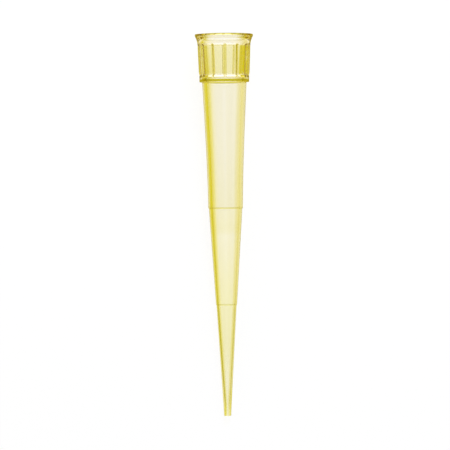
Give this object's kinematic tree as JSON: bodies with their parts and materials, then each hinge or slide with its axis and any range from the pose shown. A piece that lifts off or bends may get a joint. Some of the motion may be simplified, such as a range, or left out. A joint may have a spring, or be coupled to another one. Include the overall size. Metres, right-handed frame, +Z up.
{
  "type": "pipette tip",
  "caption": "Slender yellow plastic pipette tip with a flared mouth, a ribbed collar, a stepped tapering body and a bore from the mouth to the fine end.",
  "frame": {"origin": "centre of the box round the tip, on the bench that it lies on", "axes": "+Z up; +Y along the bench towards the mouth. The tip lies on its side, on the mouth's edge and the fine end, so its own axis leans 3.84 degrees up from +Y"},
  "size_m": [0.0076, 0.0502, 0.0076],
  "materials": {
    "tip": "clear yellow polypropylene, smooth from the mould"
  },
  "bodies": {
    "root": {"pipette_tip": "tip"}
  },
  "joints": []
}
